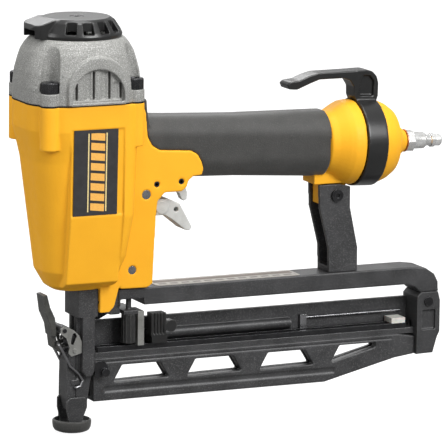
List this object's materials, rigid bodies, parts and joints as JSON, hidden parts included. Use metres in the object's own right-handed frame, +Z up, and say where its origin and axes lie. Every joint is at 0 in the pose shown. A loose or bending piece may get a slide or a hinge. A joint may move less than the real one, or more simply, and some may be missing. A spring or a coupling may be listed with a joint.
{
  "type": "pneumatic brad nailer",
  "caption": "Air-powered brad nailer with a cast motor housing, rubber grip, swivel belt hook, slim straight magazine, quick-release nose and spring contact trip.",
  "frame": {"origin": "on the drive line, where the no-mar pad's face meets the work", "axes": "+Z up the drive line to the exhaust deflector, +X back along the handle and the magazine, Y across the tool"},
  "size_m": [0.3324, 0.0796, 0.299],
  "materials": {
    "yellow_cast": "satin cast paint",
    "grey_cast": "cast texture paint",
    "black_plastic": "moulded",
    "black_rubber": "fine texture",
    "black_steel": "black coat",
    "dark_oxide": "black oxide",
    "bright_steel": "ground",
    "zinc": "plated",
    "light_cast": "tumbled",
    "grey_sheet": "phosphate",
    "copper": "washer",
    "label": "printed film",
    "red_rubber": "bumper",
    "pale_nylon": "moulded",
    "aluminium": "machined"
  },
  "bodies": {
    "frame": {"housing": "yellow_cast", "grip_sleeve": "black_rubber", "head_gasket": "black_rubber", "head_cap": "grey_cast", "cap_screws": "dark_oxide", "cylinder_sleeve": "aluminium", "bumper": "red_rubber", "head_valve_spring": "bright_steel", "trigger_pin": "bright_steel", "lock_pin": "dark_oxide", "valve_pin": "dark_oxide", "dowel_pin": "bright_steel", "valve_bushing": "black_plastic", "valve_cap": "black_plastic", "valve_spring": "bright_steel", "end_seal": "black_rubber", "end_cap": "yellow_cast", "air_plug": "zinc", "plug_washer": "copper", "beam": "black_steel", "beam_label": "label", "ear_bolt": "dark_oxide", "strut": "black_steel", "strut_screw": "dark_oxide", "strut_base_screws": "dark_oxide", "magazine": "black_steel", "mag_channel": "black_steel", "pusher_rails": "dark_oxide", "feed_gate": "grey_sheet", "end_spacer": "pale_nylon", "catch_clip": "bright_steel", "front_bolt": "dark_oxide", "end_plate": "black_steel", "end_bolt": "dark_oxide", "end_screw": "dark_oxide", "nosepiece": "black_steel", "nose_cheeks": "grey_sheet", "door_pin": "dark_oxide", "trip_spring": "bright_steel", "side_badges": "label"},
    "deflector": {"exhaust_deflector": "black_plastic", "deflector_screw": "dark_oxide"},
    "hook": {"belt_hook": "black_plastic"},
    "trigger": {"trigger": "light_cast"},
    "lock": {"lock_lever": "light_cast"},
    "valve": {"valve_stem": "dark_oxide"},
    "driver": {"piston": "aluminium", "piston_ring": "black_rubber", "driver_blade": "bright_steel"},
    "head_valve": {"head_valve": "black_plastic", "head_valve_ring": "black_rubber"},
    "pusher": {"pusher": "black_plastic", "pusher_spring": "bright_steel"},
    "trip": {"contact_trip": "black_steel", "no_mar_pad": "black_rubber"},
    "knob": {"depth_knob": "black_plastic"},
    "door": {"nose_door": "black_steel", "latch_pin": "dark_oxide"},
    "latch": {"latch_lever": "grey_sheet"},
    "bail": {"wire_bail": "dark_oxide"}
  },
  "joints": [
    {"name": "deflector_turn", "type": "hinge", "parent": "frame", "child": "deflector", "pos_m": [0.0008, 0, 0.29], "axis": [0, 0, 1], "continuous": true},
    {"name": "hook_swivel", "type": "hinge", "parent": "frame", "child": "hook", "pos_m": [0.22441, 0, 0.19662], "axis": [0.9992, 0, -0.0407], "range_deg": [-130, 130]},
    {"name": "trigger_pull", "type": "hinge", "parent": "frame", "child": "trigger", "pos_m": [0.0467, 0, 0.1713], "axis": [0, -1, 0], "range_deg": [0, 7], "stiffness_Nm_per_rad": 0.4},
    {"name": "valve_push", "type": "slide", "parent": "frame", "child": "valve", "axis": [0, 0, 1], "range_m": [0, 0.0019], "deforming": ["valve_spring"]},
    {"name": "lock_turn", "type": "hinge", "parent": "frame", "child": "lock", "pos_m": [0.0738, 0, 0.1792], "axis": [0, -1, 0], "range_deg": [0, 22]},
    {"name": "driver_stroke", "type": "slide", "parent": "frame", "child": "driver", "axis": [0, 0, -1], "range_m": [0, 0.084], "stiffness_N_per_m": 400},
    {"name": "head_valve_lift", "type": "slide", "parent": "frame", "child": "head_valve", "axis": [0, 0, 1], "range_m": [0, 0.005], "stiffness_N_per_m": 200, "deforming": ["head_valve_spring"]},
    {"name": "pusher_slide", "type": "slide", "parent": "frame", "child": "pusher", "axis": [1, 0, 0], "range_m": [0, 0.17]},
    {"name": "trip_push", "type": "slide", "parent": "frame", "child": "trip", "axis": [0, 0, 1], "range_m": [0, 0.006], "stiffness_N_per_m": 300, "deforming": ["trip_spring"]},
    {"name": "depth_turn", "type": "hinge", "parent": "trip", "child": "knob", "pos_m": [0.0395, -0.006, 0.072], "axis": [0, 0, 1], "continuous": true},
    {"name": "door_swing", "type": "hinge", "parent": "frame", "child": "door", "pos_m": [-0.012, 0, 0.0755], "axis": [0, 1, 0], "range_deg": [0, 60.5]},
    {"name": "latch_open", "type": "hinge", "parent": "door", "child": "latch", "pos_m": [-0.0095, 0, 0.0602], "axis": [0, -1, 0], "range_deg": [0, 100], "stiffness_Nm_per_rad": 0.2},
    {"name": "bail_swing", "type": "hinge", "parent": "latch", "child": "bail", "pos_m": [-0.0155, 0, 0.0655], "axis": [0, 1, 0], "range_deg": [0, 60.5]}
  ],
  "couplings": [
    {"joint": "valve_push", "follows": "trigger_pull", "m_per_rad": 0.014733},
    {"joint": "door_swing", "follows": "latch_open", "ratio": 0.6},
    {"joint": "bail_swing", "follows": "latch_open", "ratio": 0.6}
  ]
}
